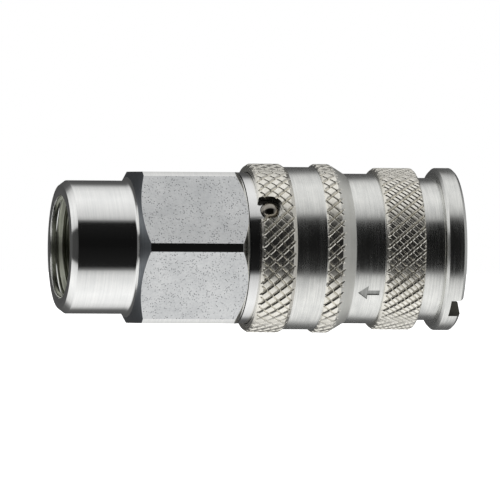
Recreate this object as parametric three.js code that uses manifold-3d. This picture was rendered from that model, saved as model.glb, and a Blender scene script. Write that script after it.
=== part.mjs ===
// Quick disconnect coupler: a push-to-connect socket for compressed air or light hydraulic lines.
//
// Millimetres. +X runs along the coupler from the threaded end to the mouth that takes the nipple,
// +Z is up and -Y faces the viewer. X = 0 is the rear face of the threaded end.
//
// The parts are stored as the coupler stands open: the sleeve held back, the six locking balls out
// and the valve shut. When a nipple is pushed in, the poppet goes back, the balls drop inwards and
// the sleeve springs forward over them.
import * as THREE from 'three';
import { mergeVertices } from 'three/addons/utils/BufferGeometryUtils.js';
import Module from 'manifold-3d';

const wasm = await Module();
wasm.setup();

// ---------------------------------------------------------------- driving sizes

const SEGMENTS = 36; // flats round every turned part, the same on all, so that they nest

const NIPPLE_BORE_R = 6.0; // bore that the nipple slides in
const LOCKING_BALL_R = 1.75;
const LOCKING_BALLS = 6;
const SLEEVE_STROKE = 4.0;
const CAM_SLOPE = 0.1875; // inward travel of a ball for each millimetre of sleeve travel
const POPPET_TRAVEL = 2 * SLEEVE_STROKE;

const PORT_THREAD_R = 7.475; // crests of a G3/8 pipe thread
const PORT_THREAD_DEPTH = 13.0;
const BOSS_LENGTH = 10.36;
const HEX_ACROSS_FLATS = 24.0;
const HEX_LENGTH = 18.06; // with the cone that rises to it from the boss
const HEX_REAR_ANGLE = 60; // degrees from the axis, that cone
const HEX_FRONT_ANGLE = 48; // degrees from the axis, the chamfer at its front end
const LOCK_BALL_R = 1.5;
const LOCK_BALL_ANGLE = 29.3; // degrees above the side that faces the viewer
const SLOT_ANGLE = -47.7; // degrees, the slot in the front flange

const RUNNING_GAP = 0.08; // between parts that slide on each other
const FIT_GAP = 0.05; // between parts that sit in each other

// ---------------------------------------------------------------- radii that follow from them

const camCos = 1 / Math.hypot(1, CAM_SLOPE);
const ballDrop = CAM_SLOPE * SLEEVE_STROKE;
const ballRestR = NIPPLE_BORE_R - 0.15 + LOCKING_BALL_R;
const camRestR = ballRestR + (LOCKING_BALL_R + FIT_GAP) / camCos;
const landR = camRestR - ballDrop;
const tubeR = landR - RUNNING_GAP;
const noseR = NIPPLE_BORE_R - 0.25;
const chamberR = NIPPLE_BORE_R + 1.3;
const sealGrooveR = tubeR - 0.85;
const springChamberR = landR + 1.92;
const counterboreR = camRestR + 0.97;
const markR = springChamberR + 1.3;
const collarR = markR + 0.1;
const skirtR = collarR + RUNNING_GAP;
const plainR = collarR + 0.9;
const bandR = collarR + 1.4;
const frontBandR = bandR - 0.56;
const mouthR = tubeR + 1.0; // the sleeve's bore in front of the stop ring
const frontGrooveR = counterboreR + 0.9;
const flangeR = bandR - 0.51;
const socketR = Math.max(chamberR + 2.2, PORT_THREAD_R + 1.9);
const spigotR = socketR - FIT_GAP;
const bossR = PORT_THREAD_R + 3.095;
const passageR = PORT_THREAD_R - 0.875;
const hexCornerR = HEX_ACROSS_FLATS * 0.56167;

// ---------------------------------------------------------------- stations along the axis

const hexEnd = BOSS_LENGTH + HEX_LENGTH;
const socketRear = Math.max(BOSS_LENGTH + 5.14, PORT_THREAD_DEPTH + 2.5);
const spiderFront = socketRear + 2.1;
const spigotRear = spiderFront + 0.1;
const collarRear = hexEnd + RUNNING_GAP;
const collarFront = collarRear + 8.0;
const sleeveRear = hexEnd + 1.64;
const bandRearEnd = sleeveRear + 5.77;
const bandMiddleStart = bandRearEnd + 4.88;
const bandMiddleEnd = bandMiddleStart + 2.42;
const bevelEnd = bandMiddleEnd + 2.47;
const bandFrontStart = bevelEnd + 4.82;
const bandFrontEnd = bandFrontStart + 6.33;
const flangeStart = bandFrontEnd + 3.38;
const sleeveFront = flangeStart + 3.3;
const ballX = sleeveFront - 8.43;
const camStart = ballX - SLEEVE_STROKE;
const camEnd = ballX + 1.25;
const springShoulder = camStart - 1.0;
const stopRingRear = camEnd + SLEEVE_STROKE + FIT_GAP;
const stopRingFront = stopRingRear + 0.7;
const tubeFront = stopRingFront + 1.6;
const seatRear = collarFront + 3.5;
const sealGrooveFront = ballX - LOCKING_BALL_R - 1.85;
const nippleSealR = (sealGrooveR - NIPPLE_BORE_R + 0.13) / 2;
const backupLength = 0.9;
const sealGrooveRear = sealGrooveFront - 2 * nippleSealR - backupLength - 0.42;
const noseFront = ballX + 0.6;
const lockBallX = sleeveRear + 1.74;

// ---------------------------------------------------------------- building blocks

// A closed outline of [x, radius] points turned about the coupler's axis.
function turned(outline) {
  const points = [...outline, outline[0]].map(([x, r]) => new THREE.Vector2(r, x));
  const geometry = new THREE.LatheGeometry(points, SEGMENTS);
  geometry.rotateZ(-Math.PI / 2);
  return solid(geometry);
}

// A three.js geometry welded into a closed solid.
function solid(geometry) {
  const bare = geometry.clone();
  bare.deleteAttribute('normal');
  bare.deleteAttribute('uv');
  const welded = mergeVertices(bare, 1e-5);
  const corners = welded.index.array;
  const kept = [];
  for (let i = 0; i < corners.length; i += 3) {
    const [a, b, c] = [corners[i], corners[i + 1], corners[i + 2]];
    if (a !== b && b !== c && c !== a) kept.push(a, b, c);
  }
  return new wasm.Manifold(new wasm.Mesh({
    numProp: 3,
    vertProperties: new Float32Array(welded.attributes.position.array),
    triVerts: new Uint32Array(kept),
  }));
}

// The other way round: a solid as a three.js geometry, shaded flat.
function surface(body) {
  const mesh = body.getMesh();
  const geometry = new THREE.BufferGeometry();
  geometry.setAttribute('position', new THREE.BufferAttribute(mesh.vertProperties, 3));
  geometry.setIndex(new THREE.BufferAttribute(mesh.triVerts, 1));
  geometry.computeVertexNormals();
  return geometry;
}

// The direction out from the axis at an angle above the side that faces the viewer.
function outward(degrees) {
  const angle = THREE.MathUtils.degToRad(degrees);
  return new THREE.Vector3(0, -Math.cos(angle), Math.sin(angle));
}

// A geometry made along +Y, turned to point outwards and set down at x and a radius.
function radially(geometry, x, radius, degrees) {
  const direction = outward(degrees);
  const turn = new THREE.Quaternion().setFromUnitVectors(new THREE.Vector3(0, 1, 0), direction);
  const place = direction.clone().multiplyScalar(radius);
  geometry.applyQuaternion(turn);
  geometry.translate(x, place.y, place.z);
  return solid(geometry);
}

function ball(radius, x, out, degrees) {
  return radially(new THREE.SphereGeometry(radius, 16, 12), x, out, degrees);
}

// A round-section ring, sitting in a groove.
function ring(sectionR, x, centreR) {
  const outline = [];
  for (let i = 0; i < 10; i += 1) {
    const angle = (i * 2 * Math.PI) / 10;
    outline.push([x - sectionR * Math.cos(angle), centreR - sectionR * Math.sin(angle)]);
  }
  return turned(outline.reverse());
}

// A compression spring wound about the axis, with closed coils and flat-ground ends.
function spring(start, end, meanR, wireR, turns) {
  const sides = 8;
  const stepsPerTurn = 18;
  const steps = turns * stepsPerTurn;
  const closed = 2.06 * wireR;
  const first = start + 0.4 * wireR;
  const last = end - 0.4 * wireR;
  const pitch = (last - first - 2 * closed) / (turns - 2);
  const positions = [];
  const indices = [];
  for (let i = 0; i <= steps; i += 1) {
    const turn = i / stepsPerTurn;
    const angle = turn * 2 * Math.PI;
    const beyond = Math.min(Math.max(turn - 1, 0), turns - 2);
    const ends = Math.min(turn, 1) + Math.max(turn - turns + 1, 0);
    const centreX = first + closed * ends + pitch * beyond;
    for (let j = 0; j < sides; j += 1) {
      const around = (j * 2 * Math.PI) / sides;
      const x = Math.min(Math.max(centreX + wireR * Math.cos(around), start), end);
      const r = meanR + wireR * Math.sin(around);
      positions.push(x, -r * Math.cos(angle), r * Math.sin(angle));
    }
  }
  for (let i = 0; i < steps; i += 1) {
    for (let j = 0; j < sides; j += 1) {
      const a = i * sides + j;
      const b = i * sides + ((j + 1) % sides);
      indices.push(a, b + sides, b);
      indices.push(a, a + sides, b + sides);
    }
  }
  const tail = steps * sides;
  for (let j = 1; j < sides - 1; j += 1) {
    indices.push(0, j, j + 1);
    indices.push(tail, tail + j + 1, tail + j);
  }
  const geometry = new THREE.BufferGeometry();
  geometry.setAttribute('position', new THREE.Float32BufferAttribute(positions, 3));
  geometry.setIndex(indices);
  return solid(geometry);
}

const coupler = new THREE.Group();
coupler.name = 'quick_disconnect_coupler';

function add(name, body, color, roughness, metalness) {
  const material = new THREE.MeshStandardMaterial({ color, roughness, metalness });
  material.name = name;
  const mesh = new THREE.Mesh(surface(body), material);
  mesh.name = name;
  coupler.add(mesh);
}

// ---------------------------------------------------------------- rear adapter

// The threaded end: a round boss with a pipe port, and the hexagon that a wrench holds. The hexagon
// rises from the boss in a cone, is turned down at its corners and chamfered in front. A socket
// inside it takes the spider and the front body's spigot.
const hexStart = BOSS_LENGTH;
const hexRise = (hexCornerR - bossR) / Math.tan(THREE.MathUtils.degToRad(HEX_REAR_ANGLE));
const hexFrontR = HEX_ACROSS_FLATS * 0.4958;
const hexFrontRun = (hexCornerR - hexFrontR)
  / Math.tan(THREE.MathUtils.degToRad(HEX_FRONT_ANGLE));
const hexBar = new THREE.CylinderGeometry(
  HEX_ACROSS_FLATS / Math.sqrt(3), HEX_ACROSS_FLATS / Math.sqrt(3), HEX_LENGTH, 6);
hexBar.rotateZ(-Math.PI / 2);
hexBar.rotateX(Math.PI / 6);
hexBar.translate(hexStart + HEX_LENGTH / 2, 0, 0);
const hexTurning = turned([
  [hexStart, 0],
  [hexStart, bossR],
  [hexStart + hexRise, hexCornerR],
  [hexEnd - hexFrontRun, hexCornerR],
  [hexEnd, hexFrontR],
  [hexEnd, 0],
]);
const boss = turned([
  [0, 0],
  [0, bossR - 0.73],
  [0.97, bossR],
  [hexStart + 2, bossR],
  [hexStart + 2, 0],
]);
const port = turned([
  [-1, 0],
  [-1, PORT_THREAD_R + 0.625],
  [0, PORT_THREAD_R + 0.625],
  [0.625, PORT_THREAD_R],
  [PORT_THREAD_DEPTH, PORT_THREAD_R],
  [PORT_THREAD_DEPTH + 0.5, passageR],
  [socketRear, passageR],
  [socketRear, socketR],
  [hexEnd + 1, socketR],
  [hexEnd + 1, 0],
]);
const rearAdapter = boss.add(solid(hexBar).intersect(hexTurning)).subtract(port);
add('rear_adapter', rearAdapter, 0xc9ccce, 0.3, 1.0);

// ---------------------------------------------------------------- spider behind the valve

// A disc with a guide for the poppet's stem and three windows that let the air through.
const spiderR = socketR - 0.1;
const spiderRear = socketRear + 0.1;
let spider = turned([
  [spiderRear, 2.1],
  [spiderRear, spiderR],
  [spiderFront, spiderR],
  [spiderFront, 3.2],
  [spiderFront + 4.4, 3.2],
  [spiderFront + 4.4, 2.1],
]);
const windowShape = new THREE.Shape();
const windowHalf = THREE.MathUtils.degToRad(40);
windowShape.absarc(0, 0, passageR - 0.3, -windowHalf, windowHalf, false);
windowShape.absarc(0, 0, 3.7, windowHalf, -windowHalf, true);
for (let i = 0; i < 3; i += 1) {
  const cut = new THREE.ExtrudeGeometry(windowShape, {
    depth: 4, bevelEnabled: false, curveSegments: 8,
  });
  cut.rotateZ((i * 2 * Math.PI) / 3);
  cut.rotateY(Math.PI / 2);
  cut.translate(spiderRear - 1, 0, 0);
  spider = spider.subtract(solid(cut));
}
add('spring_support', spider, 0xb9bcbf, 0.4, 1.0);

// ---------------------------------------------------------------- front body

// Spigot, collar and tube in one turned piece: the valve chamber and seat, the nipple's bore with
// its seal groove, the holes for the locking balls and the groove for the stop ring.
const bodyGrooveRear = spigotRear + 6.3;
const bodyGrooveFront = bodyGrooveRear + 2.0;
const bodyGrooveR = spigotR - 1.3;
let frontBody = turned([
  [spigotRear, chamberR],
  [spigotRear, spigotR - 0.3],
  [spigotRear + 0.3, spigotR],
  [bodyGrooveRear, spigotR],
  [bodyGrooveRear, bodyGrooveR],
  [bodyGrooveFront, bodyGrooveR],
  [bodyGrooveFront, spigotR],
  [collarRear, spigotR],
  [collarRear, collarR],
  [collarFront - 0.3, collarR],
  [collarFront, collarR - 0.3],
  [collarFront, tubeR],
  [stopRingRear - FIT_GAP, tubeR],
  [stopRingRear - FIT_GAP, tubeR - 0.6],
  [stopRingFront + FIT_GAP, tubeR - 0.6],
  [stopRingFront + FIT_GAP, tubeR],
  [tubeFront - 0.3, tubeR],
  [tubeFront, tubeR - 0.3],
  [tubeFront, NIPPLE_BORE_R + 0.7],
  [tubeFront - 0.7, NIPPLE_BORE_R],
  [sealGrooveFront, NIPPLE_BORE_R],
  [sealGrooveFront, sealGrooveR],
  [sealGrooveRear, sealGrooveR],
  [sealGrooveRear, NIPPLE_BORE_R],
  [seatRear + 1.3, NIPPLE_BORE_R],
  [seatRear, chamberR],
]);
// Each ball hole narrows at the bore, so that the ball can't drop out inwards.
const lipR = LOCKING_BALL_R * 0.915;
for (let i = 0; i < LOCKING_BALLS; i += 1) {
  const angle = 90 + (i * 360) / LOCKING_BALLS;
  const dropped = ballRestR - ballDrop;
  const holeR = LOCKING_BALL_R + FIT_GAP;
  const straight = new THREE.CylinderGeometry(holeR, holeR, 6, 24);
  const taperLength = LOCKING_BALL_R * 0.315;
  const taper = new THREE.CylinderGeometry(holeR, lipR, taperLength, 24);
  const lip = new THREE.CylinderGeometry(lipR, lipR, 4, 24);
  const taperTop = dropped - LOCKING_BALL_R * 0.17;
  const hole = radially(straight, ballX, taperTop + 3, angle)
    .add(radially(taper, ballX, taperTop - taperLength / 2, angle))
    .add(radially(lip, ballX, taperTop - taperLength - 2, angle));
  frontBody = frontBody.subtract(hole);
}
const lockBallOut = collarR - 0.3;
frontBody = frontBody.subtract(ball(LOCK_BALL_R + 0.06, lockBallX, lockBallOut, LOCK_BALL_ANGLE));
add('front_body', frontBody, 0xd6d8da, 0.22, 1.0);

// The ball that stands out of the collar and runs in the sleeve's notch.
add('lock_ball', ball(LOCK_BALL_R, lockBallX, lockBallOut, LOCK_BALL_ANGLE), 0x8d9093, 0.12, 1.0);

// ---------------------------------------------------------------- seals

const bodySealR = (socketR - bodyGrooveR - 0.05) / 2;
const bodySealX = (bodyGrooveRear + bodyGrooveFront) / 2;
add('body_seal', ring(bodySealR, bodySealX, bodyGrooveR + 0.025 + bodySealR), 0x1c1c1e, 0.6, 0.0);

const nippleSealX = sealGrooveRear + 0.06 + nippleSealR;
add('nipple_seal', ring(nippleSealR, nippleSealX, sealGrooveR - 0.04 - nippleSealR),
  0x1c1c1e, 0.6, 0.0);

const backupFront = sealGrooveFront - 0.1;
add('backup_ring', turned([
  [backupFront - backupLength, NIPPLE_BORE_R + 0.05],
  [backupFront - backupLength, sealGrooveR - 0.05],
  [backupFront, sealGrooveR - 0.05],
  [backupFront, NIPPLE_BORE_R + 0.05],
]), 0xe7e4da, 0.55, 0.0);

// ---------------------------------------------------------------- valve

// The poppet: a stem behind, a head that carries the valve's seal, and a tubular nose with four
// windows. The nipple pushes the nose back and the air then runs through the windows.
const poppetSealR = 0.62;
const poppetSealOut = noseR - 0.38 + poppetSealR;
const poppetSealX = seatRear + chamberR - (poppetSealR + 0.05) * Math.SQRT2 - poppetSealOut;
const headFront = poppetSealX - poppetSealR - 0.03;
const headRear = headFront - 1.81;
const stemRear = spiderFront + 1.9;
const noseBoreR = noseR - 1.15;
let poppet = turned([
  [stemRear, 0],
  [stemRear, 1.7],
  [stemRear + 0.3, 2.0],
  [headRear - 1.5, 2.0],
  [headRear, 3.5],
  [headRear, chamberR - 0.8],
  [headFront, chamberR - 0.8],
  [headFront, noseR - 0.4],
  [headFront + 1.3, noseR - 0.4],
  [headFront + 1.3, noseR],
  [noseFront - 0.3, noseR],
  [noseFront, noseR - 0.3],
  [noseFront, noseBoreR],
  [headFront + 1.4, noseBoreR],
  [headFront + 0.4, noseBoreR - 1],
  [headFront + 0.4, 0],
]);
const windowR = 1.9;
for (let i = 0; i < 4; i += 1) {
  const cut = new THREE.CylinderGeometry(windowR, windowR, 5, 20);
  poppet = poppet.subtract(radially(cut, headFront + 1.8 + windowR, noseR, 45 + i * 90));
}
add('valve_poppet', poppet, 0xc2a45e, 0.3, 1.0);
add('poppet_seal', ring(poppetSealR, poppetSealX, poppetSealOut), 0x1c1c1e, 0.6, 0.0);
add('valve_spring', spring(spiderFront + 0.1, headRear - 0.1, noseR - 0.6, 0.55, 8),
  0xaeb1b4, 0.3, 1.0);

// ---------------------------------------------------------------- locking balls

for (let i = 0; i < LOCKING_BALLS; i += 1) {
  const angle = 90 + (i * 360) / LOCKING_BALLS;
  add(`locking_ball_${i + 1}`, ball(LOCKING_BALL_R, ballX, ballRestR, angle), 0xb4b7ba, 0.1, 1.0);
}

// ---------------------------------------------------------------- release sleeve

// Three gripping bands, a plain section between the last two, a groove for the fingers and a
// flange at the front. Inside it are the skirt that runs on the collar, the chamber for its
// spring, the cone that lets the locking balls out, and a lip that closes in over the stop ring.
const rearBandRun = 0.68; // chamfer in front of the rear band, along the axis
const rearBandFall = 0.45;
const middleBandChamfer = 0.25;
const frontBandRun = 0.43; // chamfer behind the front band
const frontBandFall = 0.34;
const flangeChamfer = 0.5;
const lipRear = stopRingFront + 0.1;
let sleeve = turned([
  [sleeveRear, skirtR],
  [sleeveRear, bandR - 0.35],
  [sleeveRear + 0.5, bandR],
  [bandRearEnd - rearBandRun, bandR],
  [bandRearEnd, bandR - rearBandFall],
  [bandRearEnd, plainR],
  [bandMiddleStart, plainR],
  [bandMiddleStart, bandR - middleBandChamfer],
  [bandMiddleStart + middleBandChamfer, bandR],
  [bandMiddleEnd, bandR],
  [bevelEnd, markR],
  [bandFrontStart, markR],
  [bandFrontStart, frontBandR - frontBandFall],
  [bandFrontStart + frontBandRun, frontBandR],
  [bandFrontEnd - 0.25, frontBandR],
  [bandFrontEnd, frontBandR - 0.25],
  [bandFrontEnd, frontGrooveR],
  [flangeStart, frontGrooveR],
  [flangeStart, flangeR - flangeChamfer],
  [flangeStart + flangeChamfer, flangeR],
  [sleeveFront - flangeChamfer, flangeR],
  [sleeveFront, flangeR - flangeChamfer],
  [sleeveFront, mouthR + 0.3],
  [sleeveFront - 0.3, mouthR],
  [lipRear, mouthR],
  [lipRear, counterboreR],
  [camEnd, counterboreR],
  [camEnd, camRestR + (camEnd - ballX) * CAM_SLOPE],
  [camStart, landR],
  [springShoulder, landR],
  [springShoulder, springChamberR],
  [collarFront + 1.5, springChamberR],
  [collarFront + 1.5, skirtR],
]);
// The notch in the rear edge, with a round end, for the lock ball.
const notchR = LOCK_BALL_R + 0.45;
const notchSlot = new THREE.BoxGeometry(4, 4, 2 * notchR);
const notchTilt = new THREE.Quaternion().setFromAxisAngle(
  new THREE.Vector3(1, 0, 0), THREE.MathUtils.degToRad(-LOCK_BALL_ANGLE));
notchSlot.applyQuaternion(notchTilt);
const notchOut = outward(LOCK_BALL_ANGLE).multiplyScalar(collarR + 0.6);
notchSlot.translate(lockBallX - 2, notchOut.y, notchOut.z);
const notchEnd = new THREE.CylinderGeometry(notchR, notchR, 4, 24);
sleeve = sleeve.subtract(solid(notchSlot));
sleeve = sleeve.subtract(radially(notchEnd, lockBallX, collarR + 0.6, LOCK_BALL_ANGLE));
// The slot in the flange, in front of the stop ring's gap.
const slotTurn = new THREE.Quaternion().setFromAxisAngle(
  new THREE.Vector3(1, 0, 0), THREE.MathUtils.degToRad(-SLOT_ANGLE));
const slot = new THREE.BoxGeometry(4, 8, 3.55);
slot.applyQuaternion(slotTurn);
const slotOut = outward(SLOT_ANGLE).multiplyScalar(flangeR);
slot.translate(sleeveFront - 1.98 + 2, slotOut.y, slotOut.z);
sleeve = sleeve.subtract(solid(slot));
add('release_sleeve', sleeve, 0xc7c9cb, 0.28, 1.0);

// The ring that the sleeve's spring pushes on, so that the sleeve can turn on it.
const thrustRear = springShoulder - 1.0;
add('sleeve_thrust_ring', turned([
  [thrustRear, tubeR + 0.12],
  [thrustRear, springChamberR - 0.12],
  [springShoulder - 0.1, springChamberR - 0.12],
  [springShoulder - 0.1, tubeR + 0.12],
]), 0xa9acaf, 0.35, 1.0);

const sleeveSpringWireR = 0.6;
const sleeveSpringR = (tubeR + springChamberR) / 2;
add('sleeve_spring', spring(collarFront + 0.05, thrustRear - 0.05, sleeveSpringR,
  sleeveSpringWireR, 6.5), 0xaeb1b4, 0.3, 1.0);

// ---------------------------------------------------------------- stop ring

// A split ring in the tube's front groove, which the sleeve comes up against.
const stopRing = turned([
  [stopRingRear, tubeR - 0.55],
  [stopRingRear, counterboreR - 0.2],
  [stopRingFront, counterboreR - 0.2],
  [stopRingFront, tubeR - 0.55],
]);
const gap = new THREE.BoxGeometry(3, 6, 2.4);
gap.applyQuaternion(slotTurn);
const gapOut = outward(SLOT_ANGLE).multiplyScalar(tubeR + 0.5);
gap.translate((stopRingRear + stopRingFront) / 2, gapOut.y, gapOut.z);
add('stop_ring', stopRing.subtract(solid(gap)), 0x6f7376, 0.35, 1.0);

export default coupler;
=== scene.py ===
# A push-to-connect quick disconnect coupler for air lines, put together in the order in which it
# is assembled. Metres in Blender; the sizes below are in millimetres along the coupler's axis (X)
# and out from it. It stands open: sleeve held back, balls out, valve shut.
import math

import bpy
import numpy as np
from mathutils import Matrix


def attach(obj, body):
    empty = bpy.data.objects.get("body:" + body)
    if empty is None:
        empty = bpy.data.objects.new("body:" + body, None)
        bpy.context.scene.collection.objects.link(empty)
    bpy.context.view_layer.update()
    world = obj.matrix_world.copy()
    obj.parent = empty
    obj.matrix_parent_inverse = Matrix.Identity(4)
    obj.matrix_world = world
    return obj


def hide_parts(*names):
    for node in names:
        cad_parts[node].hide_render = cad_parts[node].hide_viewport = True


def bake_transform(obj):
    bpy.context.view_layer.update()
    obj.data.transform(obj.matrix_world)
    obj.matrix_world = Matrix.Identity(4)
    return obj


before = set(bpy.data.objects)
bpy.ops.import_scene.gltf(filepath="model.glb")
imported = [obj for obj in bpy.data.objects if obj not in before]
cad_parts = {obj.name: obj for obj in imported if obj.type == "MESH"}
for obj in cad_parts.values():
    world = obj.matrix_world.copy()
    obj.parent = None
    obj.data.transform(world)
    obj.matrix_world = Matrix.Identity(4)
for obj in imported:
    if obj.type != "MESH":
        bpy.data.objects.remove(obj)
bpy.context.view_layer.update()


# ------------------------------------------------------------------------------ rear adapter
# Threaded end and hexagon, turned from one bar of hexagonal steel and zinc plated. The boss and
# the chamfers are turned bright, the six flats keep the duller skin of the drawn bar, and the
# port is tapped with a parallel pipe thread.
MM = 0.001


def placed(mesh):
    """A mesh, or the camera's lens, as an object in the scene, at the origin and unturned."""
    piece = bpy.data.objects.new(mesh.name, mesh)
    bpy.context.scene.collection.objects.link(piece)
    return piece


def soften(outline, radius, steps=3):
    """Rounds a closed outline: each corner P between A and B, points that lie at most radius away
    along its two sides, becomes the curve (1-t)^2 A + 2t(1-t) P + t^2 B for t from 0 to 1. The
    radius is one for all corners, or one for each."""
    corner = np.asarray(outline, float)
    radius = np.reshape(radius, (-1,) + (1,) * (corner.ndim - 1))
    back = np.roll(corner, 1, axis=0) - corner
    ahead = np.roll(corner, -1, axis=0) - corner
    back_length = np.linalg.norm(back, axis=-1, keepdims=True)
    ahead_length = np.linalg.norm(ahead, axis=-1, keepdims=True)
    a = corner + back / back_length * np.minimum(radius, 0.45 * back_length)
    b = corner + ahead / ahead_length * np.minimum(radius, 0.45 * ahead_length)
    t = np.linspace(0.0, 1.0, steps + 1).reshape((1, -1) + (1,) * (corner.ndim - 1))
    a, b, corner = a[:, None], b[:, None], corner[:, None]
    curve = (1 - t) ** 2 * a + 2 * t * (1 - t) * corner + t ** 2 * b
    return curve.reshape((-1,) + curve.shape[2:])


def grid_piece(name, points, knurled=()):
    """A closed skin over a grid of points (row, column), joined end to end both ways: the face
    between rows i, i+1 and columns j, j+1 is one quad. Rows listed in knurled, with the point at
    the middle of each of their faces, get four triangles a face instead."""
    rows, columns = points.shape[:2]
    i, j = np.meshgrid(np.arange(rows), np.arange(columns), indexing="ij")
    down, right = (i + 1) % rows, (j + 1) % columns
    quads = np.stack([i * columns + j, down * columns + j,
                      down * columns + right, i * columns + right], axis=-1)
    vertices = [points.reshape(-1, 3)]
    split = np.zeros(rows, bool)
    fans = []
    count = rows * columns
    for row_numbers, middles in knurled:
        split[row_numbers] = True
        middle = count + np.arange(middles.shape[0] * columns).reshape(-1, columns)
        corners = quads[row_numbers]
        for side in range(4):
            fans.append(np.stack([corners[..., side], corners[..., (side + 1) % 4], middle],
                                 axis=-1).reshape(-1, 3))
        vertices.append(middles.reshape(-1, 3))
        count += middles.shape[0] * columns
    whole = quads[~split].reshape(-1, 4)
    fan = np.concatenate(fans) if fans else np.zeros((0, 3), int)
    corners = np.concatenate([whole.ravel(), fan.ravel()])
    totals = np.concatenate([np.full(len(whole), 4), np.full(len(fan), 3)])
    mesh = bpy.data.meshes.new(name)
    mesh.vertices.add(count)
    mesh.vertices.foreach_set("co", (np.concatenate(vertices) * MM).ravel())
    mesh.loops.add(len(corners))
    mesh.loops.foreach_set("vertex_index", corners)
    mesh.polygons.add(len(totals))
    mesh.polygons.foreach_set("loop_start", np.cumsum(totals) - totals)
    mesh.polygons.foreach_set("loop_total", totals)
    mesh.update(calc_edges=True)
    return placed(mesh)


def spun(outline, angles):
    """Points of an outline (x, r) turned about the axis: (x, -r cos a, r sin a) for each angle a,
    where a is 0 towards the viewer and a quarter turn at the top."""
    x, r = np.broadcast_arrays(outline[..., 0], outline[..., 1])
    if x.ndim == 1:
        x, r = x[:, None], r[:, None]
    x = np.broadcast_to(x, (len(x), len(angles)))
    return np.stack([x, -r * np.cos(angles), r * np.sin(angles)], axis=-1)


def turned(name, outline, edge=0.12, columns=144):
    """A lathe-turned piece: a closed outline with its edges broken by the given radius."""
    angles = np.arange(columns) * 2 * math.pi / columns
    return grid_piece(name, spun(soften(outline, edge), angles))


def smooth(piece, degrees=28):
    """Shades the piece smooth, with an edge wherever its faces meet at more than the angle."""
    piece.data.shade_smooth()
    piece.data.set_sharp_from_angle(angle=math.radians(degrees))


def finish_by_place(piece, finishes, choose):
    """Gives each face one of the finishes: choose takes the faces' x and r in millimetres, their
    normals, and their angle a round the turn in degrees, and returns the finish's number for
    each."""
    mesh = piece.data
    mesh.materials.clear()
    for finish in finishes:
        mesh.materials.append(finish)
    middle = np.empty(len(mesh.polygons) * 3)
    normal = np.empty(len(mesh.polygons) * 3)
    mesh.polygons.foreach_get("center", middle)
    mesh.polygons.foreach_get("normal", normal)
    middle = middle.reshape(-1, 3) / MM
    r = np.hypot(middle[:, 1], middle[:, 2])
    a = np.degrees(np.arctan2(middle[:, 2], -middle[:, 1]))
    number = choose(middle[:, 0], r, normal.reshape(-1, 3), a)
    mesh.polygons.foreach_set("material_index", number.astype(np.int32))


def linear(code):
    """An sRGB hex colour as linear red, green, blue and 1: c / 12.92 up to 0.04045, and
    ((c + 0.055) / 1.055) ^ 2.4 above it."""
    parts = [int(code[k:k + 2], 16) / 255 for k in (1, 3, 5)]
    return (*(c / 12.92 if c <= 0.04045 else ((c + 0.055) / 1.055) ** 2.4 for c in parts), 1.0)


def add_node(tree, kind, inputs=None, **settings):
    """One shader node. settings are its own properties; inputs are its sockets, by name or
    number, and each takes a value or another node's output."""
    made = tree.nodes.new("ShaderNode" + kind)
    for name, value in settings.items():
        setattr(made, name, value)
    for socket, value in (inputs or {}).items():
        if isinstance(value, bpy.types.NodeSocket):
            tree.links.new(value, made.inputs[socket])
        else:
            made.inputs[socket].default_value = value
    return made


def set_ramp(ramp, stops):
    """Gives a colour ramp its stops, each a position and a colour."""
    elements = ramp.color_ramp.elements
    while len(elements) < len(stops):
        elements.new(0.5)
    for element, (position, colour) in zip(elements, stops):
        element.position = position
        element.color = colour


def new_material(name):
    """A new material, its node tree and its shader."""
    material = bpy.data.materials.new(name)
    material.use_nodes = True
    return material, material.node_tree, material.node_tree.nodes["Principled BSDF"]


def turned_metal(name, light, dark, roughness, spread, line_mm, depth_mm, blur_mm=14.0):
    """Metal as a lathe leaves it: fine rings round the axis. The rings are noise stretched round
    the turn: its first coordinate is (x + 0.7 r) / line_mm, so that cylinders, faces and
    chamfers all get rings, and the other two are y and z / blur_mm, which breaks them up."""
    material, tree, shader = new_material(name)
    place = add_node(tree, "TexCoord").outputs["Object"]
    xyz = add_node(tree, "SeparateXYZ", {0: place})
    across = add_node(tree, "CombineXYZ", {1: xyz.outputs[1], 2: xyz.outputs[2]})
    radius = add_node(tree, "VectorMath", {0: across.outputs[0]}, operation="LENGTH")
    along = add_node(tree, "Math", {0: radius.outputs["Value"], 1: 0.7, 2: xyz.outputs[0]},
                     operation="MULTIPLY_ADD")
    lengths = ((along.outputs[0], line_mm), (xyz.outputs[1], blur_mm), (xyz.outputs[2], blur_mm))
    stretched = add_node(tree, "CombineXYZ", {
        k: add_node(tree, "Math", {0: source, 1: 1 / (length_mm * MM)},
                    operation="MULTIPLY").outputs[0]
        for k, (source, length_mm) in enumerate(lengths)})
    rings = add_node(tree, "TexNoise", {"Vector": stretched.outputs[0], "Scale": 1.0,
                                        "Detail": 3.0, "Roughness": 0.65})
    clouds = add_node(tree, "TexNoise", {"Vector": place, "Scale": 420.0, "Detail": 3.0})
    worn = add_node(tree, "Math", {0: rings.outputs["Fac"], 1: 0.65,
                                   2: add_node(tree, "Math", {0: clouds.outputs["Fac"], 1: 0.35},
                                               operation="MULTIPLY").outputs[0]},
                    operation="MULTIPLY_ADD")
    tone = add_node(tree, "ValToRGB", {0: worn.outputs[0]})
    set_ramp(tone, ((0.3, linear(dark)), (0.65, linear(light))))
    tree.links.new(tone.outputs[0], shader.inputs["Base Color"])
    rough = add_node(tree, "MapRange", {0: worn.outputs[0], 1: 0.3, 2: 0.7,
                                        3: roughness + spread, 4: roughness - spread})
    tree.links.new(rough.outputs[0], shader.inputs["Roughness"])
    bump = add_node(tree, "Bump", {"Strength": 1.0, "Distance": depth_mm * MM,
                                   "Height": rings.outputs["Fac"]})
    tree.links.new(bump.outputs[0], shader.inputs["Normal"])
    shader.inputs["Metallic"].default_value = 1.0
    return material


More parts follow.
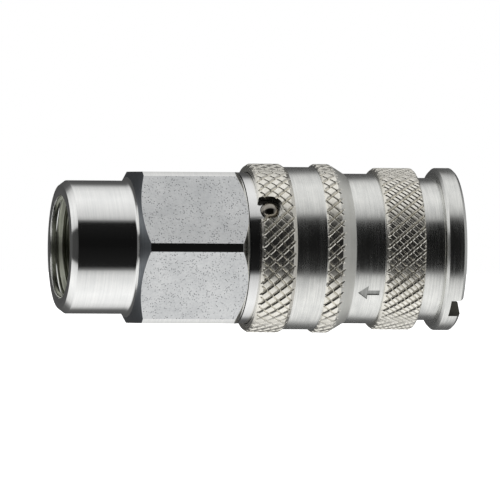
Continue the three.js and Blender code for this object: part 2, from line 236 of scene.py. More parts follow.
# Zinc plated steel, turned: bright and clear in its reflections, with faint rings.
turned_zinc = turned_metal("zinc_plated_steel_turned", "#F4F4F2", "#E6E7E6", 0.10, 0.03,
                           0.22, 0.0008)

# Zinc plated steel, drawn bar: a satin skin with a fine grain and small pits in it.
drawn_zinc, tree, shader = new_material("zinc_plated_steel_drawn")
place = add_node(tree, "TexCoord").outputs["Object"]
grain = add_node(tree, "TexNoise", {"Vector": place, "Scale": 2600.0, "Detail": 4.0,
                                    "Roughness": 0.7})
patches = add_node(tree, "TexNoise", {"Vector": place, "Scale": 260.0, "Detail": 3.0})
# Pits of about 0.15 mm, one to a cell of 0.3 mm, and about two thirds of the cells have one.
pits = add_node(tree, "TexVoronoi", {"Vector": place, "Scale": 3200.0, "Randomness": 1.0})
pit_here = add_node(tree, "TexNoise", {"Vector": place, "Scale": 900.0, "Detail": 1.0})
pit_mask = add_node(tree, "MapRange", {0: pits.outputs["Distance"], 1: 0.12, 2: 0.38,
                                       3: 1.0, 4: 0.0})
pit_some = add_node(tree, "MapRange", {0: pit_here.outputs["Fac"], 1: 0.40, 2: 0.5})
pit = add_node(tree, "Math", {0: pit_mask.outputs[0], 1: pit_some.outputs[0]},
               operation="MULTIPLY")
mottle = add_node(tree, "Math", {0: grain.outputs["Fac"], 1: 0.5,
                                 2: add_node(tree, "Math", {0: patches.outputs["Fac"], 1: 0.5},
                                             operation="MULTIPLY").outputs[0]},
                  operation="MULTIPLY_ADD")
skin = add_node(tree, "ValToRGB", {0: mottle.outputs[0]})
set_ramp(skin, ((0.35, linear("#D2D4D5")), (0.65, linear("#ECEDED"))))
pitted = add_node(tree, "Mix", {0: pit.outputs[0], 6: skin.outputs[0], 7: linear("#74777A")},
                  data_type="RGBA")
height = add_node(tree, "Math", {0: pit.outputs[0], 1: -1.5, 2: grain.outputs["Fac"]},
                  operation="MULTIPLY_ADD")
bump = add_node(tree, "Bump", {"Strength": 1.0, "Distance": 0.009 * MM,
                               "Height": height.outputs[0]})
tree.links.new(pitted.outputs[2], shader.inputs["Base Color"])
tree.links.new(bump.outputs[0], shader.inputs["Normal"])
shader.inputs["Metallic"].default_value = 1.0
shader.inputs["Roughness"].default_value = 0.34

# The hexagon is 24 across its flats and turned down to 26.96 across its corners. Round the turn
# the outline changes: its radius rho is the flat's or the turned corner's, whichever is less, and
# the two chamfers run in to meet it, which draws the curved edges of a hexagon bar.
flat_distance, corner_radius = 12.0, 13.48
boss_r, boss_end, hex_end, face_r = 10.57, 10.36, 28.42, 11.9
fillet_end = (10.7, 11.159)
socket_r, socket_start, throat_r, throat_start = 9.5, 15.5, 6.6, 13.5
half_band = 30 - math.degrees(math.acos(flat_distance / corner_radius))
sector = np.concatenate([np.linspace(-30, -30 + half_band, 3),
                         np.linspace(-30 + half_band, 30 - half_band, 21)[1:],
                         np.linspace(30 - half_band, 30, 3)[1:-1]])
turn = (sector[None, :] + np.arange(6)[:, None] * 60 + 30).ravel()
angles = np.radians(turn)
from_flat = np.radians((turn % 60) - 30)
rho = np.minimum(flat_distance / np.cos(from_flat), corner_radius)

# The thread is a G 3/8: 19 turns to the inch. Its radius climbs from the crest's by a wave in
# x / pitch - a / 360 that runs out at its inner end, and leads in from the port's mouth.
thread_start, thread_end, pitch = 0.95, 12.6, 1.337
crest_r, mouth_r, thread_height = 7.475, 8.175, 0.58
bore_steps = np.arange(thread_start, thread_end, pitch / 14)
thread = 0.5 - 0.5 * np.cos(2 * math.pi * (bore_steps[:, None] / pitch - turn / 360))
run_out = np.clip(thread_end - bore_steps, 0, 1)[:, None]
lead_in = np.clip((bore_steps - thread_start) / 0.7, 0, 1)[:, None]
thread_r = mouth_r - (mouth_r - crest_r - thread_height * run_out * thread) * lead_in
outer = [
    (0.0, 9.84), (0.97, boss_r), (9.7, boss_r), (boss_end, boss_r), fillet_end,
    (boss_end + (rho - boss_r) / math.sqrt(3), rho), (hex_end - (rho - face_r) / 1.11, rho),
    (hex_end, face_r), (hex_end, socket_r), (socket_start, socket_r), (socket_start, throat_r),
    (throat_start, throat_r), (13.0, crest_r), (thread_end, crest_r), (0.9, 8.18), (0.0, 8.2)]
edges = [0.06, 0.06, 0.02, 0.6, 0.02] + [0.06] * 11
edge_steps = 4
one = np.ones_like(rho)
outline = np.stack([np.stack([x * one, r * one], axis=-1) for x, r in outer])
rounded = soften(outline, edges, edge_steps)
into_port = len(rounded) - 2 * (edge_steps + 1)
bore = np.stack([np.broadcast_to(bore_steps[::-1, None], thread_r.shape), thread_r[::-1]],
                axis=-1)
rounded = np.concatenate([rounded[:into_port], bore, rounded[into_port:]])
adapter = grid_piece("threaded_end", spun(rounded, angles))
smooth(adapter, 18)
# Zinc plated steel, tapped, with the tap's marks round it: painted dark olive grey, as painted
# shade deep in the port.
thread_shade_zinc = turned_metal("zinc_plated_steel_thread_painted_shade", "#A4A699", "#85887A", 0.36, 0.05,
                           0.2, 0.0012)
# Zinc plated steel, turned rougher: the cone between boss and hexagon, which faces the threaded
# end, is painted greyer than the rest, as painted shade.
cone_shade_zinc = turned_metal("zinc_plated_steel_cone_painted_shade", "#8A8E92", "#70747A", 0.33, 0.05,
                         0.2, 0.001)


def adapter_finish(x, r, n, a):
    """Drawn skin on the flats, the tapped finish painted darker as shade in the thread, a greyer
    turned finish painted as shade on the cone, and turned elsewhere.
    """
    number = np.zeros(len(x))
    on_hex = (x > 10.9) & (x < hex_end - 0.02) & (r > 11.5) & (r < corner_radius - 0.02)
    number[on_hex & (abs(n[:, 0]) < 0.2)] = 1
    # Faces inside the port get the thread's painted shade.
    number[(x > 1.0) & (r < 8.4)] = 2
    # The cone's faces that look towards the threaded end get the painted shade.
    number[(x > 10.67) & (x < 12.5) & (n[:, 0] < -0.5) & (r > 11.1)] = 3
    return number


finish_by_place(adapter, [turned_zinc, drawn_zinc, thread_shade_zinc, cone_shade_zinc], adapter_finish)
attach(adapter, "body")
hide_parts("rear_adapter")


# ------------------------------------------------------------------------------ spider and seals
# Inside the adapter a machined steel spider guides the poppet's stem; the CAD's own shape is
# kept, and only gets its finish. The O-rings are moulded nitrile rubber, the backup ring PTFE.
# Machined steel: grey, with tool marks that blur what it reflects.
machined_steel = turned_metal("steel_machined", "#D2D3D4", "#A9ABAD", 0.32, 0.08, 0.25, 0.002)


def moulded(name, colour, worn, roughness, grain_mm):
    """A moulded or pressed plastic: one colour with slightly paler patches, and a fine grain of
    the given size in its surface."""
    material, tree, shader = new_material(name)
    place = add_node(tree, "TexCoord").outputs["Object"]
    patches = add_node(tree, "TexNoise", {"Vector": place, "Scale": 350.0, "Detail": 4.0})
    grain = add_node(tree, "TexNoise", {"Vector": place, "Scale": 1 / (grain_mm * MM),
                                        "Detail": 2.0})
    tone = add_node(tree, "Mix", {0: patches.outputs["Fac"], 6: linear(colour), 7: linear(worn)},
                    data_type="RGBA")
    bump = add_node(tree, "Bump", {"Strength": 0.6, "Distance": 0.006 * MM,
                                   "Height": grain.outputs["Fac"]})
    tree.links.new(tone.outputs[2], shader.inputs["Base Color"])
    tree.links.new(bump.outputs[0], shader.inputs["Normal"])
    shader.inputs["Roughness"].default_value = roughness
    return material


# Nitrile rubber, moulded: near black, with a soft sheen. PTFE, turned from rod: waxy off-white.
nitrile = moulded("nitrile_rubber_moulded", "#18181A", "#28282A", 0.5, 0.12)
ptfe = moulded("ptfe_turned", "#E6E3D8", "#D8D4C6", 0.45, 0.1)


def section_ring(name, section, x, middle):
    """A ring of round section: points (x - s cos b, m - s sin b) for b round the section."""
    b = -np.arange(24) * 2 * math.pi / 24
    outline = np.stack([x - section * np.cos(b), middle - section * np.sin(b)], axis=-1)
    angles = np.arange(96) * 2 * math.pi / 96
    piece = grid_piece(name, spun(outline, angles))
    piece.data.shade_smooth()
    piece.data.materials.append(nitrile)
    return piece


spider_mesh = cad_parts["spring_support"].data
spider_mesh.materials.clear()
spider_mesh.materials.append(machined_steel)

body_seal = section_ring("body_o_ring", 0.68, 25.0, 8.79)
nipple_seal = section_ring("nipple_o_ring", 0.93, 49.14, 6.78)
backup = turned("backup_washer", [(50.4, 6.06), (50.4, 7.69), (51.28, 7.69), (51.28, 6.06)], 0.05)
smooth(backup)
backup.data.materials.append(ptfe)
for piece, node_name, slot_name in ((body_seal, "body_seal", "seal_rubber"),
                                    (nipple_seal, "nipple_seal", "seal_rubber"),
                                    (backup, "backup_ring", "backup_plastic")):
    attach(piece, "body")
    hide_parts(node_name)


# ------------------------------------------------------------------------------ valve
# A turned brass poppet: stem, head with a bonded nitrile ring, and a tubular nose with four
# round windows that the air runs through once the nipple has pushed it back.

def standing_prism(name, outline, degrees, near, far, narrower=()):
    """A cutter that stands out from the axis at an angle above the viewer's side. Its outline is
    (x, s) points, s being round the turn; the prism's two ends are at near and far from the
    axis, and each point is x, and near or far times the outward direction plus s times the
    direction round the turn. A narrower one lists (distance, outline) on its way outwards, and
    its near end is like the first of them."""
    near_outline = narrower[0][1] if narrower else outline
    levels = [(near, near_outline), *narrower, (far, outline)]
    angle = math.radians(degrees)
    out = np.array([0, -math.cos(angle), math.sin(angle)])
    around = np.array([0, math.sin(angle), math.cos(angle)])
    rings = []
    for distance, shape in levels:
        x, s = np.asarray(shape, float).T
        rings.append(x[:, None] * [1, 0, 0] + s[:, None] * around + distance * out)
    count = len(outline)
    k = np.arange(count)
    side = np.stack([k, (k + 1) % count, (k + 1) % count + count, k + count], axis=1)
    sides = np.concatenate([side + level * count for level in range(len(levels) - 1)]).tolist()
    caps = [k[::-1].tolist(), (k + count * (len(levels) - 1)).tolist()]
    mesh = bpy.data.meshes.new(name)
    mesh.from_pydata((np.concatenate(rings) * MM).tolist(), [], sides + caps)
    return placed(mesh)


def circle(x, radius, steps=36):
    """Points (x + r cos b, r sin b) round a circle."""
    b = np.arange(steps) * 2 * math.pi / steps
    return np.stack([x + radius * np.cos(b), radius * np.sin(b)], axis=1)


def cut_out(piece, cutters):
    """Subtracts the cutters from the piece and removes them."""
    for cutter in cutters:
        step = piece.modifiers.new(cutter.name, "BOOLEAN")
        step.operation = "DIFFERENCE"
        step.solver = "EXACT"
        step.object = cutter
    depsgraph = bpy.context.evaluated_depsgraph_get()
    mesh = bpy.data.meshes.new_from_object(piece.evaluated_get(depsgraph))
    piece.modifiers.clear()
    piece.data = mesh
    mesh.name = piece.name
    for cutter in cutters:
        bpy.data.meshes.remove(cutter.data)


# Brass, turned: warm yellow, with bright rings.
brass = turned_metal("brass_turned", "#D9B86A", "#B8923F", 0.2, 0.06, 0.25, 0.0016)
poppet = turned("poppet", [
    (19.5, 0.02), (19.5, 1.7), (19.8, 2.0), (36.4, 2.0), (37.93, 3.5), (37.93, 6.5), (39.71, 6.5),
    (39.71, 5.35), (41.01, 5.35), (41.01, 5.75), (55.3, 5.75), (55.6, 5.45), (55.6, 4.6),
    (41.11, 4.6), (40.11, 3.6), (40.11, 0.02)], 0.1, 96)
cut_out(poppet, [standing_prism(f"window_{k}", circle(43.41, 1.9), 45 + 90 * k, 2.2, 8.0)
                 for k in range(4)])
smooth(poppet)
poppet.data.materials.append(brass)
valve_seal = section_ring("poppet_o_ring", 0.61, 40.36, 5.99)
for piece, node_name, slot_name in ((poppet, "valve_poppet", "valve_brass"),
                                    (valve_seal, "poppet_seal", "seal_rubber")):
    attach(piece, "poppet")
    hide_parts(node_name)


# ------------------------------------------------------------------------------ springs
# Two compression springs of drawn stainless wire, wound with closed ends that are ground flat.
# One end of each bears on the body and the other on what it pushes.
# Stainless wire, drawn: grey, with fine lines.
wire = turned_metal("stainless_wire_drawn", "#C9CACB", "#9FA1A3", 0.26, 0.06, 0.12, 0.0008, 2.0)


def capped_grid(name, points, ends, caps):
    """A skin over a grid of points (row, column) that is joined round its columns only: the face
    between rows i, i+1 and columns j, j+1 is one quad. The points in ends, if any, and the faces
    in caps close its first and last row."""
    rows, columns = points.shape[:2]
    i, j = np.meshgrid(np.arange(rows - 1), np.arange(columns), indexing="ij")
    right = (j + 1) % columns
    quads = np.stack([i * columns + j, (i + 1) * columns + j, (i + 1) * columns + right,
                      i * columns + right], axis=-1).reshape(-1, 4).tolist()
    vertices = np.concatenate([points.reshape(-1, 3), np.reshape(ends, (-1, 3))])
    mesh = bpy.data.meshes.new(name)
    mesh.from_pydata((vertices * MM).tolist(), [], quads + caps)
    return placed(mesh)


def wound_spring(name, start, end, middle, wire_r, turns):
    """A wire of radius w round a helix: at turn t its centre is at x(t) and at the middle radius,
    where x climbs one wire a turn in the closed coils and evenly between them. A point of the
    wire is (x(t) + w cos b, m + w sin b) turned through t, with x held between the ground
    ends."""
    t = np.linspace(0, turns, int(turns * 48) + 1)[:, None]
    b = np.arange(14)[None, :] * 2 * math.pi / 14
    closed = 2.06 * wire_r
    low, high = start + 0.4 * wire_r, end - 0.4 * wire_r
    pitch = (high - low - 2 * closed) / (turns - 2)
    centre = low + closed * (np.minimum(t, 1) + np.maximum(t - turns + 1, 0))
    centre = centre + pitch * np.clip(t - 1, 0, turns - 2)
    x = np.clip(centre + wire_r * np.cos(b), start, end)
    r = middle + wire_r * np.sin(b)
    a = 2 * math.pi * t
    points = np.stack([x, -r * np.cos(a), r * np.sin(a)], axis=-1)
    rows, sides = x.shape
    caps = [list(range(sides)), list(range(rows * sides - 1, (rows - 1) * sides - 1, -1))]
    piece = capped_grid(name, points, [], caps)
    smooth(piece, 50)
    piece.data.materials.append(wire)
    return piece


valve_coil = wound_spring("valve_spring_wire", 17.8, 37.8, 5.15, 0.54, 8)
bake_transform(valve_coil)
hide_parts("valve_spring")
sleeve_coil = wound_spring("sleeve_spring_wire", 36.56, 48.94, 9.64, 0.59, 6.5)
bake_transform(sleeve_coil)
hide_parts("sleeve_spring")


# ------------------------------------------------------------------------------ front body
# The tube that takes the nipple, with its polished collar, in one piece of plated steel. It holds
# the locking balls in six tapered holes and the lock ball in a pocket in the collar.
# Steel, nickel plated and polished: a clear mirror, whose rings barely show.
polished = turned_metal("nickel_plated_steel_polished", "#EDEDEC", "#E0E0DF", 0.11, 0.03,
                        0.3, 0.0004, 20.0)
body_outline = [
    (17.75, 7.3), (17.75, 9.15), (18.05, 9.45), (24.0, 9.45), (24.0, 8.15), (26.0, 8.15),
    (26.0, 9.45), (28.5, 9.45), (28.5, 12.0), (36.2, 12.0), (36.5, 11.7), (36.5, 8.6),
    (60.25, 8.6), (60.25, 8.0), (61.05, 8.0), (61.05, 8.6), (62.3, 8.6), (62.6, 8.3),
    (62.6, 6.7), (61.9, 6.0), (51.4, 6.0), (51.4, 7.75), (48.2, 7.75), (48.2, 6.0),
    (41.3, 6.0), (40.0, 7.3)]
front_body = turned("body_tube", body_outline, 0.1)
balls_x, lock_ball_x, lock_ball_angle = 55.0, 31.8, 29.3
wide, lip = circle(balls_x, 1.8), circle(balls_x, 1.6)
holes = [standing_prism(f"ball_hole_{k}", wide, 90 + 60 * k, 4.5, 9.5, [(6.0, lip), (6.55, wide)])
         for k in range(6)]
holes.append(standing_prism("lock_ball_pocket", circle(lock_ball_x, 1.56), lock_ball_angle,
                            10.2, 13.0))
cut_out(front_body, holes)
smooth(front_body)
front_body.data.materials.append(polished)
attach(front_body, "body")
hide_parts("front_body")


# ------------------------------------------------------------------------------ balls
# Hardened bearing balls, ground and polished: six that lock the nipple, and a smaller one, staked
# in the collar, that stands in the sleeve's notch.

# Bearing steel, polished: a dark mirror. The lock ball's is painted darker and browner, as painted
# shade from the notch's walls round it.
ball_steel = turned_metal("bearing_steel_polished", "#C4C5C8", "#B4B5B9", 0.07, 0.02,
                          0.5, 0.0002, 6.0)
notch_shaded_ball = turned_metal("bearing_steel_notch_painted_shade", "#A19C94", "#8F8B84", 0.09, 0.02,
                          0.5, 0.0002, 6.0)


def polished_ball(name, radius, x, out, degrees):
    """A sphere on a grid: latitude b and longitude g give (sin b, cos b cos g, cos b sin g) times
    the radius, and its two poles are single points."""
    b = np.linspace(-math.pi / 2, math.pi / 2, 25)[1:-1, None]
    g = np.arange(48)[None, :] * 2 * math.pi / 48
    skin = np.stack([np.sin(b) + 0 * g, -np.cos(b) * np.cos(g), np.cos(b) * np.sin(g)], axis=-1)
    poles = np.array([[-1, 0, 0], [1, 0, 0]])
    angle = math.radians(degrees)
    centre = np.array([x, -out * math.cos(angle), out * math.sin(angle)])
    rows, columns = skin.shape[:2]
    south, north, last = rows * columns, rows * columns + 1, (rows - 1) * columns
    caps = [[south, m, (m + 1) % columns] for m in range(columns)]
    caps += [[north, last + (m + 1) % columns, last + m] for m in range(columns)]
    piece = capped_grid(name, skin * radius + centre, poles * radius + centre, caps)
    piece.data.shade_smooth()
    piece.data.materials.append(ball_steel)
    return piece


for k in range(6):
    locking = polished_ball(f"bearing_ball_{k + 1}", 1.75, balls_x, 7.6, 90 + 60 * k)
    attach(locking, f"ball_{k + 1}")
    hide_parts(f"locking_ball_{k + 1}")
lock = polished_ball("notch_ball", 1.5, lock_ball_x, 11.7, lock_ball_angle)
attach(lock, "body")
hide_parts("lock_ball")
# The lock ball gets the bearing steel with painted shade.
lock.data.materials[0] = notch_shaded_ball


# ------------------------------------------------------------------------------ rings
# The thrust washer lets the sleeve turn on its spring; the blackened, split stop ring sits in the
# tube's groove with its gap behind the flange's slot.
washer = turned("thrust_washer", [(49.02, 8.73), (49.02, 10.46), (49.88, 10.46), (49.88, 8.73)],
                0.08)
smooth(washer)
washer.data.materials.append(machined_steel)
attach(washer, "sleeve_carrier")
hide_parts("sleeve_thrust_ring")

# Spring steel, blackened: dark grey with a soft shine.
black_oxide = turned_metal("spring_steel_black_oxide", "#4A4C4E", "#343638", 0.3, 0.06,
                           0.3, 0.0015)
stop = turned("split_ring", [(60.3, 8.06), (60.3, 10.18), (61.0, 10.18), (61.0, 8.06)], 0.1)
slot_angle = -47.7
cut_out(stop, [standing_prism("ring_gap", [(59, -1.2), (62.5, -1.2), (62.5, 1.2), (59, 1.2)],
                              slot_angle, 7.0, 11.0)])
smooth(stop)
stop.data.materials.append(black_oxide)
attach(stop, "body")
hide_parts("stop_ring")


# ------------------------------------------------------------------------------ release sleeve
# One turned steel sleeve, zinc plated. Two bands are cut with a diamond knurl of about 2 mm, and
# the second runs out down a bevel; the front band's knurl has a finer left-hand line. Between
# the bands it is turned plain, and the finger groove and flange in front are brushed.
rear, band_1_end, band_2_start, bevel_end, band_3_start, band_3_end, front = (
    30.06, 35.83, 40.71, 45.60, 50.42, 56.75, 63.43)
band_r, band_3_r, ring_r, plain_r, groove_r, flange_r = 13.40, 12.84, 12.90, 11.90, 11.30, 12.89
bore_r, counterbore_r, lip_r = 12.08, 10.4, 9.6
knurl_count, knurl_steps = 42, 10
columns = knurl_count * knurl_steps
round_turn = np.arange(columns) * 2 * math.pi / columns


def finished_radius(x, top):
    """Radius at x of a band before it is knurled: straight lines between its turned sizes."""
    if top == band_3_r:
        return np.interp(x, [band_3_start, 50.85, 56.50, band_3_end],
                         [top - 0.34, top, top, top - 0.22])
    return np.interp(x, [rear, 30.56, 35.15, band_1_end, band_2_start, 40.98, 43.13, bevel_end],
                     [13.05, top, top, 12.95, 13.15, top, top, 11.95])


def groove(u, half_width):
    """Depth, from 0 to 1, of a V groove along each whole number of u: 1 - |u - round(u)| / w
    inside its half width w, and 0 outside."""
    return np.clip(1 - np.abs(u - np.round(u)) / half_width, 0, 1)


def knurl(x, i, a, top, fine):
    """Grid points of a diamond knurl at x, in rows i, and angles a. Its radius is the top less the
    deeper of two families of V grooves, which lie along whole numbers of u = n a / 2 pi - i / m
    and v = n a / 2 pi + i / m, where n is their count round the sleeve and m the rows to one of
    them. A chamfer or bevel cuts it off where that is lower."""
    turns, along = knurl_count * a[None, :] / (2 * math.pi), i[:, None] / knurl_steps
    right_hand = 0.34 * groove(turns - along, 0.15)
    left_hand = 0.22 * groove(turns + along, 0.11)
    if fine:
        left_hand = np.maximum(0.20 * groove(turns + along, 0.11),
                               0.14 * groove(turns + along + 0.5, 0.1))
    r = np.minimum(top - np.maximum(right_hand, left_hand), finished_radius(x, top)[:, None])
    return spun(np.stack([np.broadcast_to(x[:, None], r.shape), r], axis=-1), a)


def knurled_rows(x, top, fine=False):
    """Grid points of a knurled band's rows x, and of the middles of their faces."""
    middle = (x[:-1] + x[1:]) / 2
    spacing = x[1] - x[0]
    return (knurl(x, (x - x[0]) / spacing, round_turn, top, fine),
            knurl(middle, (middle - x[0]) / spacing, round_turn + math.pi / columns, top, fine))


def rounded_rows(outline, edge=0.1):
    """Rows of an open outline (x, r): its corners rounded, its two ends left as they are."""
    steps = 3
    return spun(soften(outline, edge, steps)[steps + 1:-steps - 1], round_turn)


band_1 = knurled_rows(np.append(rear + np.arange(27) * 5.09 / 24, band_1_end), band_r)
band_2 = knurled_rows(band_2_start + np.arange(17) * (2.42 / 11), band_r)
band_3 = knurled_rows(band_3_start + np.arange(30) * 6.33 / 29, band_3_r, True)
middle_ring = rounded_rows([(band_1_end, 12.95), (band_1_end, ring_r), (band_2_start, ring_r),
                            (band_2_start, 13.15)], 0.05)
bevel = rounded_rows([(44.25, 12.742), (bevel_end, plain_r), (band_3_start, plain_r),
                      (band_3_start, 12.50)], 0.12)
front_end = rounded_rows([
    (band_3_end, 12.62), (band_3_end, groove_r), (60.13, groove_r), (60.13, 12.39),
    (60.63, flange_r), (62.93, flange_r), (front, 12.39), (front, 9.9), (63.13, lip_r),
    (61.1, lip_r), (61.1, counterbore_r), (56.25, counterbore_r), (56.25, 9.665),
    (51.0, 8.682), (50.0, 8.682), (50.0, 10.6), (38.0, 10.6), (38.0, bore_r), (rear, bore_r),
    (rear, 13.05)])
stack, knurled, at = [], [], 0
for rows, middles in (band_1, (middle_ring, None), band_2, (bevel, None), band_3,
                      (front_end, None)):
    if middles is not None:
        knurled.append((np.arange(at, at + len(middles)), middles))
    stack.append(rows)
    at += len(rows)
sleeve = grid_piece("knurled_sleeve", np.concatenate(stack), knurled)

# The notch is open to the rear and ends in a half circle round the lock ball.
notch_half = 1.95
b = np.radians(np.linspace(-90, 90, 25))
notch = np.concatenate([
    [[28.0, -notch_half]],
    np.stack([lock_ball_x + notch_half * np.cos(b), notch_half * np.sin(b)], axis=1),
    [[28.0, notch_half]]])
slot_half, slot_start = 1.775, 61.45
slot = [(slot_start, -slot_half), (65.0, -slot_half), (65.0, slot_half), (slot_start, slot_half)]
# An arrow cut about 0.15 deep into the plain section shows the way to pull the sleeve.
arrow_angle, arrow_floor = -36.0, 11.74
arrow = [(46.3, 0), (47.9, -1.3), (47.9, -0.45), (49.8, -0.45), (49.8, 0.45), (47.9, 0.45),
         (47.9, 1.3)]
cut_out(sleeve, [standing_prism("pull_arrow", arrow, arrow_angle, arrow_floor, 13.0),
                 standing_prism("ball_notch", notch, lock_ball_angle, 10.5, 15.0),
                 standing_prism("flange_slot", slot, slot_angle, 8.9, 15.0)])
smooth(sleeve, 24)

# Zinc plated steel again, as each tool leaves it: knurled it is warm and a little soft, brushed it
# is streaked round the turn, faced it is matt and etched it is dull. The slot's walls are painted
# near black steel, as painted shade.
knurled_zinc = turned_metal("zinc_plated_steel_knurled", "#F6F3EB", "#E0DDD2", 0.27, 0.06,
                            0.25, 0.0015, 5.0)
brushed_zinc = turned_metal("zinc_plated_steel_brushed", "#ECECE8", "#CDCECC", 0.24, 0.08,
                            0.28, 0.0035, 9.0)
bevel_zinc = turned_metal("zinc_plated_steel_faced", "#E6E6E1", "#DBDBD5", 0.4, 0.03,
                          0.25, 0.0006)
etched_steel = turned_metal("steel_etched", "#B4B5B2", "#9C9D9A", 0.5, 0.05, 0.2, 0.002)
slot_shade_steel = turned_metal("steel_slot_painted_shade", "#45453F", "#2E2E2A", 0.35, 0.05, 0.2, 0.002)
slot_across = np.array([0, math.sin(math.radians(slot_angle)), math.cos(math.radians(slot_angle))])


def sleeve_finish(x, r, n, a):
    """Which finish a face of the sleeve has: knurled on the bands, brushed on the plain ring,
    the plain section and all in front of the last band, faced on the bevel and the second band's
    chamfer, painted near black as shade in the slot, etched in the arrow, and turned elsewhere."""
    knurl_there, brushed, faced, as_turned, painted_slot_shade, etched = range(6)
    number = np.full(len(x), as_turned)
    number[(x < band_1_end) & (r > 12.2)] = knurl_there
    number[(x > band_2_start) & (x < 43.95) & (r > 12.2)] = knurl_there
    number[(x > band_3_start) & (x < band_3_end) & (r > 12.0)] = knurl_there
    number[(x > 35.9) & (x < 40.6) & (r > 12.2)] = brushed
    number[(x > bevel_end) & (x < band_3_start) & (r > 11.5)] = brushed
    number[(x > band_3_end) & (r > 10.5)] = brushed
    sloping = (n[:, 0] > 0.4) & (n[:, 0] < 0.62)
    number[(x > 43.2) & (x < bevel_end) & sloping & (r > 11.5)] = faced
    across_it = abs(n @ slot_across) > 0.9
    at_its_end = (n[:, 0] > 0.9) & (x < 61.6)
    # The slot's walls and end are painted near black, as painted shade.
    number[(x > 61.4) & (abs(a - slot_angle) < 10.5) & (across_it | at_its_end)] = painted_slot_shade
    in_arrow = (x > 46) & (x < 50) & (abs(a - arrow_angle) < 8)
    number[in_arrow & (r > 11.6) & (r < 11.86)] = etched
    return number


finish_by_place(sleeve, [knurled_zinc, brushed_zinc, bevel_zinc, turned_zinc, slot_shade_steel,
                         etched_steel], sleeve_finish)
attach(sleeve, "sleeve")
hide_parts("release_sleeve")


# ------------------------------------------------------------------------------ studio
# A pale table, a white surround, and soft light from long boxes above and below the coupler, with
# the side towards the viewer left dark, as polished metal is lit. A long lens stands 11.8 degrees
# towards the threaded end, level with the axis.
scene = bpy.context.scene
scene.view_settings.view_transform = "Standard"

table_mesh = bpy.data.meshes.new("table")
half_table, table_top = 9.0, -0.0142
table_mesh.from_pydata([(x * half_table, y * half_table, table_top)
                        for x, y in ((-1, -1), (1, -1), (1, 1), (-1, 1))], [], [(0, 1, 2, 3)])
table = placed(table_mesh)
# Matt white laminate that glows a little, so that it shows no edge against the surround.
white, tree, shader = new_material("white_laminate")
shader.inputs["Base Color"].default_value = (0.9, 0.9, 0.9, 1)
shader.inputs["Emission Color"].default_value = (1, 1, 1, 1)
shader.inputs["Emission Strength"].default_value = 1.0
table_mesh.materials.append(white)
table.visible_glossy = False
table.visible_diffuse = False
table.visible_shadow = False

world = bpy.data.worlds.new("studio")
scene.world = world
world.use_nodes = True
tree = world.node_tree
background = tree.nodes["Background"]
way = add_node(tree, "TexCoord").outputs["Generated"]
xyz = add_node(tree, "SeparateXYZ", {0: way})
# The boxes are a ramp on how far a direction is turned up or down from the viewer's side, from 0
# towards the viewer to 1 away: atan2(|z|, -y) / pi. The upper box starts a little higher.
height = add_node(tree, "Math", {0: xyz.outputs[2]}, operation="ABSOLUTE")
towards = add_node(tree, "Math", {0: xyz.outputs[1], 1: -1.0}, operation="MULTIPLY")
climb = add_node(tree, "Math", {0: height.outputs[0], 1: towards.outputs[0]},
                 operation="ARCTAN2")
turn_up = add_node(tree, "Math", {0: climb.outputs[0], 1: math.pi}, operation="DIVIDE")
above = add_node(tree, "Math", {0: xyz.outputs[2], 1: 0.0}, operation="GREATER_THAN")
in_front = add_node(tree, "Math", {0: turn_up.outputs[0], 1: -2.0, 2: 1.0},
                    operation="MULTIPLY_ADD", use_clamp=True)
higher = add_node(tree, "Math", {0: above.outputs[0], 1: in_front.outputs[0]},
                  operation="MULTIPLY")
shifted = add_node(tree, "Math", {0: higher.outputs[0], 1: -0.081, 2: turn_up.outputs[0]},
                   operation="MULTIPLY_ADD")
boxes = add_node(tree, "ValToRGB", {0: shifted.outputs[0]})
stops = ((0.0, 0.006), (0.188, 0.012), (0.215, 0.14), (0.238, 0.50), (0.28, 0.68), (0.39, 0.85),
         (0.5, 0.95), (0.62, 0.85), (0.70, 0.64), (0.755, 0.22), (0.79, 0.11), (0.87, 0.085),
         (1.0, 0.075))
set_ramp(boxes, [(position, (value, value, value, 1)) for position, value in stops])
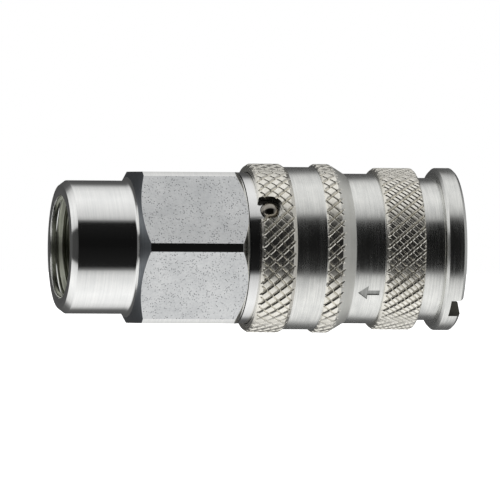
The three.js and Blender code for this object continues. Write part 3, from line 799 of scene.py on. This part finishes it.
# The lower boxes are stronger; the threaded end's side has a faint glow and a narrow strip, and
# the mouth's side an even grey.
below = add_node(tree, "Math", {0: xyz.outputs[2], 1: 0.0}, operation="LESS_THAN")
stronger = add_node(tree, "Math", {0: below.outputs[0], 1: 0.12, 2: 1.0},
                    operation="MULTIPLY_ADD")
lit = add_node(tree, "Math", {0: boxes.outputs[0], 1: stronger.outputs[0]}, operation="MULTIPLY")
side_glow = add_node(tree, "MapRange", {0: xyz.outputs[0], 1: -0.7, 2: -0.88, 4: 0.055})
lit_side = add_node(tree, "Math", {0: lit.outputs[0], 1: side_glow.outputs[0]},
                    operation="MAXIMUM")
right_side = add_node(tree, "MapRange", {0: xyz.outputs[0], 1: 0.55, 2: 0.9})
with_right = add_node(tree, "Mix", {0: right_side.outputs[0], 2: lit_side.outputs[0], 3: 0.45})
strip_across = add_node(tree, "MapRange", {0: xyz.outputs[0], 1: -0.955, 2: -0.972})
strip_near = add_node(tree, "MapRange", {0: xyz.outputs[1], 1: 0.12, 2: 0.04})
left_strip = add_node(tree, "Math", {0: strip_across.outputs[0], 1: strip_near.outputs[0]},
                      operation="MULTIPLY")
with_left = add_node(tree, "Mix", {0: left_strip.outputs[0], 2: with_right.outputs[0], 3: 0.2})
seen = add_node(tree, "LightPath")
strength = add_node(tree, "Mix", {0: seen.outputs["Is Camera Ray"], 2: with_left.outputs[0],
                                  3: 1.0})
tree.links.new(strength.outputs[0], background.inputs["Strength"])
background.inputs["Color"].default_value = (1, 1, 1, 1)

lens = bpy.data.cameras.new("long_lens")
lens.lens = 1500
lens.sensor_width = 36
lens.clip_start, lens.clip_end = 0.01, 100
camera = placed(lens)
azimuth, roll = math.radians(-11.8), math.radians(-0.33)
aim_x, aim_z, seen_width = 0.0308, -0.00032, 0.07937
distance = seen_width * lens.lens / lens.sensor_width
camera.location = (aim_x + distance * math.sin(azimuth), -distance * math.cos(azimuth), aim_z)
camera.rotation_mode = "XYZ"
camera.rotation_euler = (math.pi / 2, roll, azimuth)
scene.camera = camera
